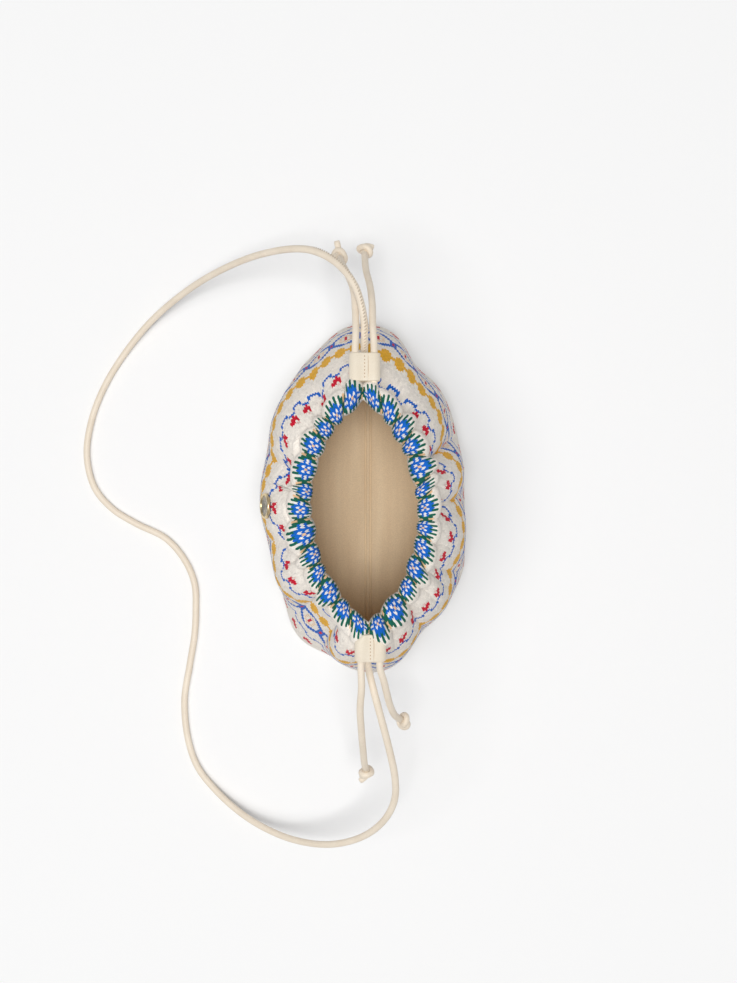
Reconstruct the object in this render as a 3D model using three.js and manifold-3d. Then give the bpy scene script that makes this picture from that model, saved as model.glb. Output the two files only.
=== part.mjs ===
// A drawstring pochette that stands open on its base: a knit pouch with a gathered hem round the mouth,
// a cloth lining, two leather drawstrings with knotted ends, a leather slider at each end of the mouth,
// a round leather shoulder strap and a plain metal medallion.
// Millimetres, +Z up. The origin is the middle of the base, +Y runs along the mouth and +X across it.
// The end at +Y is called back, the one at -Y front, and the side at -X left.
import * as THREE from "three";
import { mergeVertices } from "three/addons/utils/BufferGeometryUtils.js";
import Module from "manifold-3d";

// Driving sizes
const KNIT_WALL = 2.5;
const LINING_WALL = 1;
const CLEARANCE = 0.3;
const LINING_GAP = 0.6;
const LINING_SKIPS = [4, 145, 173];
const CORD_RADIUS = 2.5;
const STRAP_RADIUS = 2.6;
const CASING_CLEARANCE = 0.8;
const BASE_TURN = 15;

// Gathers round the whole mouth, counted from the back tip round by the left side.
const GATHERS = 26;
const GATHERS_PER_SIDE = GATHERS / 2;
const COLUMNS_PER_GATHER = 3;
const GATHER_ROUNDNESS = 0.8;
const TIP_PINCH = 1.2;
const TIP_REACH = 0.6;

// Sections of the pouch's outside, from the base up to the neck below the hem. Each is an oval with half
// sizes across X and along Y, its middle along Y, a lens power (1 is an ellipse, more draws the tips out),
// how far its front tip leans to +X, how far the dents, folds and gathers move it in and out, and how much
// of the creases' full depth it has.
const SECTION_KEYS = [
  "z", "half_x", "half_y", "mid_y", "lens", "lean", "dent", "fold", "tuck", "gather",
];
const BODY_SECTIONS = [
  [0, 60, 116, 0, 1, 2, 0.2, 0, 0, 0],
  [4, 70, 127, 0, 1, 2, 0.6, 0, 0, 0],
  [15, 76, 133.5, 0, 1, 2, 1, 0, 0, 0],
  [40, 77.7, 135.5, 0, 1, 2, 1, 0, 0, 0],
  [80, 75.5, 130, -1, 1, 2, 0.8, 0.4, 0, 0],
  [115, 72.5, 121, -3, 1, 2, 0.4, 0.8, 0, 0],
  [145, 66.5, 110.5, -6, 1.05, 2, 0.1, 1, 0.35, 0.3],
  [161, 59.5, 101, -8, 1.15, 2.5, 0, 1, 1, 0.6],
  [168, 55.5, 95.5, -8.5, 1.25, 3, 0, 0.9, 1, 0.8],
  [173, 52, 90, -8.5, 1.35, 3.5, 0, 0.6, 1, 1],
].map((row) => Object.fromEntries(row.map((value, column) => [SECTION_KEYS[column], value])));

// The hem is a soft roll about an oval, swept from the neck over the top to its underside.
const HEM = { z: 183, half_x: 45.6, half_y: 83, mid_y: -7.8, lens: 1.4, lean: 4, dent: 0, fold: 0, tuck: 1 };
const HEM_RADIUS = 8;
const HEM_GATHER = 2.2;
const HEM_START = -50;
const HEM_END = 262;
const HEM_ROWS = 9;
// Share of the gathers that is left where the roll meets the neck and at its underside.
const HEM_EDGE_GATHER = 0.4;

// Creases of the body below the hem: the gather where each lies, its depth where it is deepest, how far the
// cloth puffs out between it and the next one, and the share of its depth that is left below the shoulder.
const CREASES = [
  { at: 0, depth: 0, puff: -1, low: 1 },
  { at: 2, depth: 8, puff: 6, low: 0.1 },
  { at: 5, depth: 11, puff: 5, low: 0.1 },
  { at: 7.667, depth: 11, puff: 3, low: 0.15 },
  { at: 10, depth: 12, puff: -12, low: 1.35 },
  { at: 11.4, depth: 15, puff: 3, low: 0.8 },
  { at: 13, depth: 7, puff: 2, low: 1 },
  { at: 15.333, depth: 4, puff: 4, low: 1 },
  { at: 17.333, depth: 4, puff: 4, low: 1 },
  { at: 19.667, depth: 10, puff: 3, low: 0.6 },
  { at: 21.333, depth: 14, puff: -2, low: 1 },
  { at: 23.9, depth: 13, puff: -14, low: 0.1 },
  { at: GATHERS, depth: 0, puff: 0, low: 1 },
];
const PUFF_ROUNDNESS = 0.75;
// Dents and bulges of the lower body: the gather where each lies and how far it stands out.
const DENT_REACH = 0.8;
const DENTS = [
  { at: 1.6, out: -4 },
  { at: 3, out: -3 },
  { at: 8.8, out: -3 },
  { at: 10.7, out: 4 },
  { at: 11.9, out: -5 },
  { at: 15, out: -6 },
  { at: 17.4, out: 5 },
  { at: 23.9, out: -8 },
];

// Leather sliders: two rings of leather round the cords, joined by a stitched web.
const SLIDER_LENGTH = 20;
const SLIDER_RING = 4.4;
const SLIDER_BORE = 3.3;
const CORD_SPACING = 6.6;
const SLIDER_WEB_ANGLE = 140;
const SLIDER_SIDES = 12;
const SLIDERS = [
  { end: "back", outward: 1, x: 1.2, y: 82.5, z: 187.5, tilt: 6 },
  { end: "front", outward: -1, x: 5.2, y: -93.2, z: 195, tilt: 14 },
];
// A drawstring climbs out of the hem from this gather on, and enters the slider straight over this length.
const CASING_FROM = 1.2;
const SLIDER_LEAD = 2.5;

// Free ends of the drawstrings, from the slider to the knot.
const TAILS = [
  { end: "back", side: "left", route: [[-5, 116, 183], [-5.5, 136, 172], [-7, 150, 160], [-11.5, 163, 144],
    [-16, 173, 126], [-17, 178, 114]] },
  { end: "back", side: "right", route: [[6.9, 122, 182], [6.5, 139, 170], [5, 153, 153], [2, 168, 128],
    [1, 182, 108]] },
  { end: "front", side: "left", route: [[-1, -132, 185], [-2, -148, 176], [-1, -168, 159],
    [0, -182, 142], [1, -195, 121], [2, -200, 111]] },
  { end: "front", side: "right", route: [[15, -129, 182], [19, -146, 165], [23, -156, 148],
    [27, -160, 137]] },
];
const KNOT_HALF = 6;
const KNOT_RING = 3.7;
const KNOT_TILT = 28;
const KNOT_SPREAD = 1.6;
const KNOT_SIDES = 5;
const KNOT_STEPS = 8;
const TAG_LENGTH = 7;

// The shoulder strap, from the back wall under the slider, over the surface on the left, to the front wall.
const STRAP_ROUTE = [
  [1, 94, 155.5], [1, 100.5, 163], [1, 107, 170.5], [1, 114, 176], [1, 123, 180], [-1, 136, 182],
  [-6, 151, 180], [-17, 166, 170], [-31, 176, 159], [-47, 181, 144], [-76, 181, 112], [-108, 174, 74],
  [-139, 161, 38],
  [-169, 140, 13], [-191, 115, 4], [-207, 89, 3], [-217, 63, 3], [-221, 35, 3], [-215, 9, 3],
  [-201, -8, 3], [-182, -20, 3], [-158, -32, 3], [-143, -49, 3], [-135, -68, 3], [-134, -89, 3],
  [-135, -109, 3], [-139, -134, 3], [-143, -161, 3], [-140, -193, 3], [-132, -215, 4], [-116, -234, 8],
  [-94, -251, 17], [-68, -262, 34], [-41, -265, 58], [-18, -261, 80], [3, -250, 102], [17, -234, 122],
  [23, -218, 136], [23, -201, 148], [19, -180, 160], [13, -156, 170], [7, -133, 175], [3.6, -118, 171.5],
  [3, -108, 167], [3, -101.6, 162.6],
];
const STRAP_STEPS = 80;
const CORD_SIDES = 8;
const STEP_DIAMETERS = 2.5;

// Medallion: a dished disc with a raised rim, lying on the left side of the body.
const MEDALLION = { gather: 6.4, z: 150, radius: 9.2, thickness: 1.4, rim: 1.8, rim_height: 0.9, lift: 0.5 };
const MEDALLION_SIDES = 20;
// Reach round and up the wall over which the medallion takes the slope of its seat.
const SEAT_GATHERS = 0.3;
const SEAT_HEIGHT = 6;

const COLOURS = { knit: 0xd9d0c3, lining: 0xb3946a, leather: 0xefe3cf, metal: 0xc9b48a };

const wasm = await Module();
wasm.setup();

// One side of an oval section: the left side from the back tip, or the right side from the front tip.
class OvalSide extends THREE.Curve {
  constructor(section, start) {
    super();
    this.section = section;
    this.start = start;
  }

  getPoint(t, target = new THREE.Vector2()) {
    const { half_x, half_y, mid_y, lens, lean } = this.section;
    const across = Math.sin(this.start + Math.PI * t);
    const along = Math.cos(this.start + Math.PI * t);
    const tipLean = lean * ((1 - along) / 2) ** 2;
    return target.set(
      tipLean - half_x * Math.sign(across) * Math.abs(across) ** lens,
      mid_y + half_y * along,
    );
  }
}

function gatherWave(gather) {
  const crest = Math.abs(Math.sin(Math.PI * gather)) ** GATHER_ROUNDNESS;
  const along = gather % GATHERS_PER_SIDE;
  const toTip = Math.min(along, GATHERS_PER_SIDE - along);
  return 2 * crest - 1 - TIP_PINCH * Math.exp(-((toTip / TIP_REACH) ** 2));
}

function foldDepth(gather, tuck) {
  const next = Math.max(1, CREASES.findIndex(({ at }) => at > gather));
  const [before, after] = [CREASES[next - 1], CREASES[next]];
  const part = (gather - before.at) / (after.at - before.at);
  const arch = Math.sin(Math.PI * part) ** PUFF_ROUNDNESS;
  const reach = ({ low }) => THREE.MathUtils.lerp(low, 1, tuck);
  const valley = THREE.MathUtils.lerp(before.depth * reach(before), after.depth * reach(after), part);
  const puff = before.puff > 0 ? before.puff : before.puff * reach(before);
  return puff * arch - valley * (1 - arch);
}

function dentDepth(gather) {
  const depths = DENTS.map(({ at, out }) => out * Math.exp(-(((gather - at) / DENT_REACH) ** 2)));
  return depths.reduce((sum, depth) => sum + depth, 0);
}

// A function that gives the point of a section's ring at any gather. The section's rise is the slope of
// the surface's normal: 0 points straight out and 90 degrees straight up.
function ringOf(section) {
  const sides = [new OvalSide(section, 0), new OvalSide(section, Math.PI)];
  const rise = THREE.MathUtils.degToRad(section.rise ?? 0);
  return (position) => {
    const gather = THREE.MathUtils.euclideanModulo(position, GATHERS);
    const side = sides[Math.floor(gather / GATHERS_PER_SIDE)];
    const part = (gather % GATHERS_PER_SIDE) / GATHERS_PER_SIDE;
    const point = side.getPointAt(part);
    const tangent = side.getTangentAt(part);
    const push = section.gather * gatherWave(gather) + section.fold * foldDepth(gather, section.tuck)
      + section.dent * dentDepth(gather);
    const outward = push * Math.cos(rise);
    return new THREE.Vector3(
      point.x + outward * tangent.y,
      point.y - outward * tangent.x,
      section.z + push * Math.sin(rise),
    );
  };
}

function inset(section, depth) {
  const lift = depth * Math.max(0, 1 - section.z / BASE_TURN);
  return {
    ...section,
    half_x: section.half_x - depth,
    half_y: section.half_y - depth,
    z: section.z + lift,
  };
}

function hemSections() {
  return Array.from({ length: HEM_ROWS + 1 }, (_, row) => {
    const part = row / HEM_ROWS;
    const rise = THREE.MathUtils.lerp(HEM_START, HEM_END, part);
    const angle = THREE.MathUtils.degToRad(rise);
    return {
      ...HEM,
      rise,
      half_x: HEM.half_x + HEM_RADIUS * Math.cos(angle),
      half_y: HEM.half_y + HEM_RADIUS * Math.cos(angle),
      z: HEM.z + HEM_RADIUS * Math.sin(angle),
      gather: HEM_GATHER * THREE.MathUtils.lerp(HEM_EDGE_GATHER, 1, Math.sin(Math.PI * part)),
    };
  });
}

// A closed skin over a run of rings that starts and ends at a point in the middle of the base. Its
// diagonals run the same way up the wall outside and inside, so that folds keep their thickness.
function skinOver(sections, startZ, endZ) {
  const columns = GATHERS * COLUMNS_PER_GATHER;
  const points = [new THREE.Vector3(0, 0, startZ)];
  for (const section of sections) {
    const ring = ringOf(section);
    for (let column = 0; column < columns; column += 1) {
      points.push(ring(column / COLUMNS_PER_GATHER));
    }
  }
  points.push(new THREE.Vector3(0, 0, endZ));

  const last = points.length - 1;
  const at = (row, column) => 1 + row * columns + (column % columns);
  const triangles = [];
  for (let column = 0; column < columns; column += 1) {
    triangles.push(0, at(0, column + 1), at(0, column));
    for (let row = 0; row < sections.length - 1; row += 1) {
      const [a, b] = [at(row, column), at(row, column + 1)];
      const [d, c] = [at(row + 1, column), at(row + 1, column + 1)];
      const rising = sections[row + 1].z >= sections[row].z;
      triangles.push(...(rising ? [a, b, c, a, c, d] : [a, b, d, b, c, d]));
    }
    triangles.push(at(sections.length - 1, column), at(sections.length - 1, column + 1), last);
  }
  const geometry = new THREE.BufferGeometry().setFromPoints(points);
  geometry.setIndex(triangles);
  return geometry;
}

function solidOf(geometry) {
  const bare = geometry.clone();
  bare.deleteAttribute("normal");
  bare.deleteAttribute("uv");
  const merged = mergeVertices(bare);
  return new wasm.Manifold(new wasm.Mesh({
    numProp: 3,
    vertProperties: merged.attributes.position.array,
    triVerts: Uint32Array.from(merged.index.array),
  }));
}

function geometryOf(solid) {
  const { vertProperties, triVerts } = solid.getMesh();
  const geometry = new THREE.BufferGeometry();
  geometry.setAttribute("position", new THREE.BufferAttribute(vertProperties, 3));
  geometry.setIndex(new THREE.BufferAttribute(triVerts, 1));
  return geometry;
}

function cordCurve(points) {
  return new THREE.CatmullRomCurve3(points, false, "centripetal");
}

function tubeAlong(curve, radius, steps) {
  const section = new THREE.Shape();
  section.absarc(0, 0, radius, 0, 2 * Math.PI);
  return new THREE.ExtrudeGeometry(section, {
    steps,
    curveSegments: CORD_SIDES / 2,
    bevelEnabled: false,
    extrudePath: curve,
  });
}

function stepsFor(curve, radius) {
  return Math.ceil(curve.getLength() / (2 * radius * STEP_DIAMETERS));
}

function meshOf(name, geometry, colour, roughness, metalness = 0) {
  geometry.computeVertexNormals();
  const material = new THREE.MeshStandardMaterial({ color: colour, roughness, metalness });
  const mesh = new THREE.Mesh(geometry, material);
  mesh.name = name;
  return mesh;
}

function sliderDirection({ outward, tilt }) {
  const angle = THREE.MathUtils.degToRad(tilt);
  return new THREE.Vector3(0, outward * Math.cos(angle), -Math.sin(angle));
}

// The point on a slider's bore that is some way along from its inner end.
function inBore(slider, side, along) {
  const aside = side === "left" ? -CORD_SPACING : CORD_SPACING;
  return new THREE.Vector3(slider.x + aside, slider.y, slider.z)
    .addScaledVector(sliderDirection(slider), along);
}

function makeSlider(slider) {
  const web = THREE.MathUtils.degToRad(SLIDER_WEB_ANGLE);
  const outline = new THREE.Shape();
  outline.absarc(CORD_SPACING, 0, SLIDER_RING, -web, web);
  outline.absarc(-CORD_SPACING, 0, SLIDER_RING, Math.PI - web, Math.PI + web);
  for (const x of [-CORD_SPACING, CORD_SPACING]) {
    const bore = new THREE.Path();
    bore.absarc(x, 0, SLIDER_BORE, 0, 2 * Math.PI, true);
    outline.holes.push(bore);
  }
  const geometry = new THREE.ExtrudeGeometry(outline, {
    depth: SLIDER_LENGTH,
    curveSegments: SLIDER_SIDES / 2,
    bevelEnabled: false,
  });
  const mesh = meshOf(`slider_${slider.end}`, geometry, COLOURS.leather, 0.6);
  mesh.position.set(slider.x, slider.y, slider.z);
  mesh.quaternion.setFromUnitVectors(new THREE.Vector3(0, 0, 1), sliderDirection(slider));
  return mesh;
}

// A drawstring's course through both sliders and the hem between them.
function drawstringCurve(side) {
  const ring = ringOf({ ...HEM, gather: 0 });
  const inSlider = [SLIDER_LENGTH, SLIDER_LENGTH / 2, 0, -SLIDER_LEAD];
  const [back, front] = SLIDERS.map((slider) => inSlider.map((along) => inBore(slider, side, along)));
  const sweep = GATHERS_PER_SIDE - 2 * CASING_FROM;
  const casing = Array.from({ length: GATHERS_PER_SIDE + 1 }, (_, step) => {
    const gather = CASING_FROM + (sweep * step) / GATHERS_PER_SIDE;
    return ring(side === "left" ? gather : GATHERS - gather);
  });
  return cordCurve([...back, ...casing, ...front.reverse()]);
}

// The strap's course, with some length added past each end along its own direction.
function strapCurve(added = 0) {
  const points = STRAP_ROUTE.map((point) => new THREE.Vector3(...point));
  for (const [tip, next] of [[points.at(0), points.at(1)], [points.at(-1), points.at(-2)]]) {
    tip.addScaledVector(tip.clone().sub(next).normalize(), added);
  }
  return cordCurve(points);
}

// The knit is one skin: up the outside, over the hem and down the inside, with the drawstrings' casing
// and the strap's two holes cut through it.
function makeKnitPouch(drawstrings) {
  const inside = BODY_SECTIONS.map((section) => inset(section, KNIT_WALL)).reverse();
  let solid = solidOf(skinOver([...BODY_SECTIONS, ...hemSections(), ...inside], 0, KNIT_WALL));
  for (const curve of drawstrings) {
    const casing = tubeAlong(curve, CORD_RADIUS + CASING_CLEARANCE, stepsFor(curve, CORD_RADIUS));
    solid = solid.subtract(solidOf(casing));
  }
  const strapHole = tubeAlong(strapCurve(KNIT_WALL), STRAP_RADIUS + CLEARANCE, STRAP_STEPS);
  return meshOf("knit_pouch", geometryOf(solid.subtract(solidOf(strapHole))), COLOURS.knit, 0.95);
}

function makeLining() {
  const outer = KNIT_WALL + LINING_GAP;
  const inner = outer + LINING_WALL;
  const covered = BODY_SECTIONS.filter(({ z }) => !LINING_SKIPS.includes(z));
  const outside = covered.map((section) => inset(section, outer));
  const inside = covered.map((section) => inset(section, inner)).reverse();
  return meshOf("lining", skinOver([...outside, ...inside], outer, inner), COLOURS.lining, 0.9);
}

// A tail leaves its slider straight on, and bends down under its own weight to the knot.
function tailCurve({ end, side, route }) {
  const slider = SLIDERS.find((one) => one.end === end);
  return cordCurve([
    inBore(slider, side, SLIDER_LENGTH + CLEARANCE),
    inBore(slider, side, SLIDER_LENGTH + 2 * CORD_RADIUS),
    ...route.map((point) => new THREE.Vector3(...point)),
  ]);
}

// An overhand knot: two crossed turns of cord round the cord itself, with a short end left over.
function makeKnot({ end, side }, curve) {
  const core = new THREE.CylinderGeometry(CORD_RADIUS, CORD_RADIUS, 2 * KNOT_HALF + TAG_LENGTH, CORD_SIDES);
  core.translate(0, TAG_LENGTH / 2, 0);
  let solid = solidOf(core);
  for (const sign of [-1, 1]) {
    const turn = new THREE.TorusGeometry(KNOT_RING, CORD_RADIUS, KNOT_SIDES, KNOT_STEPS);
    turn.rotateX(Math.PI / 2 + THREE.MathUtils.degToRad(sign * KNOT_TILT));
    turn.translate(0, sign * KNOT_SPREAD, 0);
    solid = solid.add(solidOf(turn));
  }
  const mesh = meshOf(`knot_${end}_${side}`, geometryOf(solid), COLOURS.leather, 0.6);
  const direction = curve.getTangent(1);
  mesh.position.copy(curve.getPoint(1)).addScaledVector(direction, KNOT_HALF + CLEARANCE);
  mesh.quaternion.setFromUnitVectors(new THREE.Vector3(0, 1, 0), direction);
  return mesh;
}

// The section of the body at any height between the listed ones.
function sectionAt(z) {
  const above = BODY_SECTIONS.findIndex((section) => section.z > z);
  const [low, high] = [BODY_SECTIONS[above - 1], BODY_SECTIONS[above]];
  const part = (z - low.z) / (high.z - low.z);
  const mixed = Object.keys(low).map((key) => [key, THREE.MathUtils.lerp(low[key], high[key], part)]);
  return Object.fromEntries(mixed);
}

function makeMedallion() {
  const { gather, z, radius, thickness, rim, rim_height, lift } = MEDALLION;
  const profile = [
    [0, 0],
    [radius, 0],
    [radius, thickness + rim_height / 2],
    [radius - rim / 2, thickness + rim_height],
    [radius - rim, thickness],
    [0, thickness / 2],
  ].map(([across, up]) => new THREE.Vector2(across, up));
  const geometry = new THREE.LatheGeometry(profile, MEDALLION_SIDES);
  const mesh = meshOf("medallion", geometry, COLOURS.metal, 0.35, 1);
  const ring = ringOf(sectionAt(z));
  const seat = ring(gather);
  const along = ring(gather + SEAT_GATHERS).sub(ring(gather - SEAT_GATHERS));
  const higher = ringOf(sectionAt(z + SEAT_HEIGHT))(gather);
  const lower = ringOf(sectionAt(z - SEAT_HEIGHT))(gather);
  const upward = higher.sub(lower);
  const normal = along.cross(upward).normalize();
  mesh.position.copy(seat).addScaledVector(normal, lift);
  mesh.quaternion.setFromUnitVectors(new THREE.Vector3(0, 1, 0), normal);
  return mesh;
}

const pochette = new THREE.Group();
const drawstrings = { left: drawstringCurve("left"), right: drawstringCurve("right") };
pochette.add(makeKnitPouch(Object.values(drawstrings)), makeLining(), makeMedallion());
for (const [side, curve] of Object.entries(drawstrings)) {
  const run = tubeAlong(curve, CORD_RADIUS, stepsFor(curve, CORD_RADIUS));
  pochette.add(meshOf(`drawstring_${side}`, run, COLOURS.leather, 0.6));
}
pochette.add(...SLIDERS.map(makeSlider));
for (const tail of TAILS) {
  const curve = tailCurve(tail);
  const tube = tubeAlong(curve, CORD_RADIUS, stepsFor(curve, CORD_RADIUS));
  pochette.add(meshOf(`tail_${tail.end}_${tail.side}`, tube, COLOURS.leather, 0.6), makeKnot(tail, curve));
}
const strapTube = tubeAlong(strapCurve(), STRAP_RADIUS, STRAP_STEPS);
pochette.add(meshOf("shoulder_strap", strapTube, COLOURS.leather, 0.6));

export default pochette;
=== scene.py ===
"""Looks of a knit drawstring pochette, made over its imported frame.

Tables and shapes are in millimetres, with the frame's axes, and MM turns them into metres.
+Y is the back of the pouch, -Y the front and -X the left side.
"""
import math

import bmesh
import bpy
import numpy as np
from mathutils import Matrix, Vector
from mathutils.geometry import tessellate_polygon


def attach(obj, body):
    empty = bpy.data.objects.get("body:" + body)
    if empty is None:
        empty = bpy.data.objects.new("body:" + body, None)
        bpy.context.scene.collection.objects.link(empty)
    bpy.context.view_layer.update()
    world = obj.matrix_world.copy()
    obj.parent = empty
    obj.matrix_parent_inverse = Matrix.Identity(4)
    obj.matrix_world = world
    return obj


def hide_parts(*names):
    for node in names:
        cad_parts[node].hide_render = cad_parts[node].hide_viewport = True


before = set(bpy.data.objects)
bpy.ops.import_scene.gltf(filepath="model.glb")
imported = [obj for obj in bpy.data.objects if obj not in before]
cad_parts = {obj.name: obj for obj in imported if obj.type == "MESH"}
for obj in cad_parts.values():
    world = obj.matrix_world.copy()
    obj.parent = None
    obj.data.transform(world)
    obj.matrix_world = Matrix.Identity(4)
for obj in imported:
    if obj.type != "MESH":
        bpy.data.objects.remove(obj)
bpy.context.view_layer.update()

MM = 0.001
BODY = "root"
# Name of the UV map laid flat over each knit piece
BAKE_MAP = "OFBake"
SEED = 11
TINY = 1e-12

# Camera: straight above, with the photo's scale on the floor
FRAME_HEIGHT_PX = 983
FLOOR_MM_PER_PX = 0.8
EYE = (3.9, 5.5, 1500)
SENSOR = 36

# Cords, with the steps along their lines and the sides of the tubes
CORD_RADIUS = 2.5
STRAP_RADIUS = 2.6
CLEARANCE = 0.3
CORD_STEP = 1.5
STRAP_STEP = 2
SPAN_STEPS = 16
CORD_SIDES = 14
CORD_BEVEL = 6
NEARLY_UPRIGHT = 0.1
# The strap, from the hole in the back wall to the one in the front wall
STRAP_ROUTE = [
    (1, 94, 155.5), (1, 100.5, 163), (1, 107, 170.5), (1, 114, 176), (1, 123, 180), (-1, 136, 182),
    (-6, 151, 180), (-17, 166, 170), (-31, 176, 159), (-47, 181, 144), (-76, 181, 112), (-108, 174, 74),
    (-139, 161, 38), (-169, 140, 13), (-191, 115, 4), (-207, 89, 3), (-217, 63, 3), (-221, 35, 3),
    (-215, 9, 3), (-201, -8, 3), (-182, -20, 3), (-158, -32, 3), (-143, -49, 3), (-135, -68, 3),
    (-134, -89, 3), (-135, -109, 3), (-139, -134, 3), (-143, -161, 3), (-140, -193, 3), (-132, -215, 4),
    (-116, -234, 8), (-94, -251, 17), (-68, -262, 34), (-41, -265, 58), (-18, -261, 80), (3, -250, 102),
    (17, -234, 122), (23, -218, 136), (23, -201, 148), (19, -180, 160), (13, -156, 170), (7, -133, 175),
    (3.6, -118, 171.5), (3, -108, 167), (3, -101.6, 162.6),
]
# The tails, from their sliders to their knots
TAILS = {
    ("back", "left"): [(-5, 116, 183), (-5.5, 136, 172), (-7, 150, 160), (-11.5, 163, 144), (-16, 173, 126),
                       (-17, 178, 114)],
    ("back", "right"): [(6.9, 122, 182), (6.5, 139, 170), (5, 153, 153), (2, 168, 128), (1, 182, 108)],
    ("front", "left"): [(-1, -132, 185), (-2, -148, 176), (-1, -168, 159), (0, -182, 142), (1, -195, 121),
                        (2, -200, 111)],
    ("front", "right"): [(15, -129, 182), (19, -146, 165), (23, -156, 148), (27, -160, 137)],
}

# A stitch of thread, in shares of its radius: how far it bows up, and how deep and thin its ends are
THREAD_BOW = 1.6
THREAD_SINK = 0.8
THREAD_TIP = 0.6
THREAD_STEPS = 7
THREAD_SIDES = 6

# Whip stitches along the strap. The seam's place is given by the length from the back end, and in degrees
# from the top towards the right
SEAM_TURNS = [(0, 10), (45, 15), (70, 32), (95, 60), (125, 110), (160, 140), (1200, 140)]
SEAM_PITCH = 2.2
SEAM_SPREAD = 20
SEAM_LEAN = 0.6
SEAM_THREAD = 0.5

# Overhand knots: how far apart the turns lie, how many such gaps of cord they take up, and where the knot
# starts and its tag ends, from its middle
KNOT_GAP = 3.9
KNOT_TAKE_UP = 9
KNOT_LEAD = 6.5
KNOT_TAG = 12.5
KNOT_RADIUS = 2.3
# Tying: the loose knot's reach and scale, the rounds, the share of them in which the ends are pulled apart,
# and how strongly each round smooths the cord, centres it and pushes its turns apart
KNOT_REACH = 2.25
KNOT_SCALE = 0.75
KNOT_POINTS = 120
KNOT_ROUNDS = 700
KNOT_PULL = 0.6
KNOT_SMOOTHING = 0.25
KNOT_CENTRING = 0.1
KNOT_SWEEPS = 6
KNOT_PUSH = 0.4
KNOT_STEP = 0.8
# Which way each tag end leans, and from where
TAG_LEANS = {
    ("back", "left"): (-3, 10, 7),
    ("back", "right"): (7, -6, 3),
    ("front", "left"): (-8, -2, 3),
    ("front", "right"): (-4, 3, -2),
}
TAG_FROM = 4.5
TAG_CURVE = 1.5
TAG_TAPER = 0.8
# How far each knot is rolled round its cord, in radians
KNOT_ROLLS = {("back", "left"): 0.4, ("back", "right"): 2.2, ("front", "left"): 3.6, ("front", "right"): 5}

# Sliders: the inner end's middle, which way along Y the slider points, how many degrees it tips down, and
# how much of its inner corners is cut away under the hem
SLIDERS = {
    "back": {"inner": (1.2, 82.5, 187.5), "outward": 1, "tilt": 6, "corner": 0.6},
    "front": {"inner": (5.2, -93.2, 195), "outward": -1, "tilt": 14, "corner": 4.5},
}
SLIDER_LENGTH = 20
# Radius of the leather round each cord, of the bores and of the rounded ends, and how far the leather
# sinks between the cords
SLIDER_RING = 4.4
SLIDER_HOLE = 2.8
SLIDER_HOLE_DEPTH = 4
SLIDER_HOLE_SIDES = 32
SLIDER_EDGE = 0.9
SLIDER_EDGE_STEPS = (0, 0.1, 0.4, 1)
SLIDER_DIP = 1.1
SLIDER_STEPS = 49
# The flap that overlaps the top: where its edge lies across the slider, and the line of painted shade along
# that edge
FLAP_EDGE = 2.3
FLAP_STEP = 0.05
FLAP_THICKNESS = 0.7
FLAP_SHADE_LINE = 0.26
# Stitches along a slider: their ends, in shares of the pitch, and their seat, in flap thicknesses
SLIDER_STITCHES = 7
SLIDER_PITCH = 2.45
SLIDER_STITCH_ENDS = (-0.3, 0.3)
SLIDER_STITCH_SEAT = 0.55
SLIDER_THREAD = 0.38
# Points of a slider that are this close, in metres, are joined
WELD = 1e-6
# Drawstrings: how far each lies from the middle of a slider, how far it leads in, and the gather at which
# it enters the hem
CORD_SPACING = 6.6
SLIDER_LEAD = 2.5
CASING_FROM = 1.2
CASING_POINTS = 14

# The pouch: gathers round the mouth, counted from the back tip round by the left side
GATHERS = 26
SIDE_GATHERS = GATHERS / 2
GATHER_ROUNDNESS = 0.6
RING_STEPS = 1500
BODY_STEPS = 240
HEM_STEPS = 120
# How far the stitches spread along a gather's own path, and how high a gather is when they spread fully
GATHER_STRETCH = 0.7
FULL_GATHER = 1.5
# How much the gathers sink at the two tips of the mouth
TIP_PINCH = 1.2
TIP_REACH = 0.6
# Sections from the base up: height, half sizes, shift along Y, how pointed the tips are, how far the front
# tip leans to the right, and the shares of dents, folds, tucks and gathers
SECTION_COLUMNS = ("z", "half_x", "half_y", "mid_y", "lens", "lean", "dent", "fold", "tuck", "gather")
BODY_SECTIONS = [
    (0, 60, 116, 0, 1, 2, 0.2, 0, 0, 0),
    (4, 70, 127, 0, 1, 2, 0.6, 0, 0, 0),
    (15, 76, 133.5, 0, 1, 2, 1, 0, 0, 0),
    (40, 77.7, 135.5, 0, 1, 2, 1, 0, 0, 0),
    (80, 75.5, 130, -1, 1, 2, 0.8, 0.4, 0, 0),
    (115, 72.5, 121, -3, 1, 2, 0.4, 0.8, 0, 0),
    (145, 66.5, 110.5, -6, 1.05, 2, 0.1, 1, 0.35, 0.3),
    (161, 59.5, 101, -8, 1.15, 2.5, 0, 1, 1, 0.8),
    (168, 55.5, 95.5, -8.5, 1.25, 3, 0, 0.9, 1, 1.3),
    (173, 52, 90, -8.5, 1.35, 3.5, 0, 0.7, 1, 1.7),
]
HEM = {
    "z": 183, "half_x": 45.6, "half_y": 83, "mid_y": -7.8, "lens": 1.4, "lean": 4, "dent": 0, "fold": 0,
    "tuck": 1,
}
HEM_RADIUS = 8
# How far the gathers stand out, by degrees round the hem's roll from its outer to its inner edge
HEM_GATHERS = [(-50, 2), (20, 2.8), (100, 2.8), (170, 1.4), (262, 0.6)]
HEM_START, HEM_END = HEM_GATHERS[0][0], HEM_GATHERS[-1][0]
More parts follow.
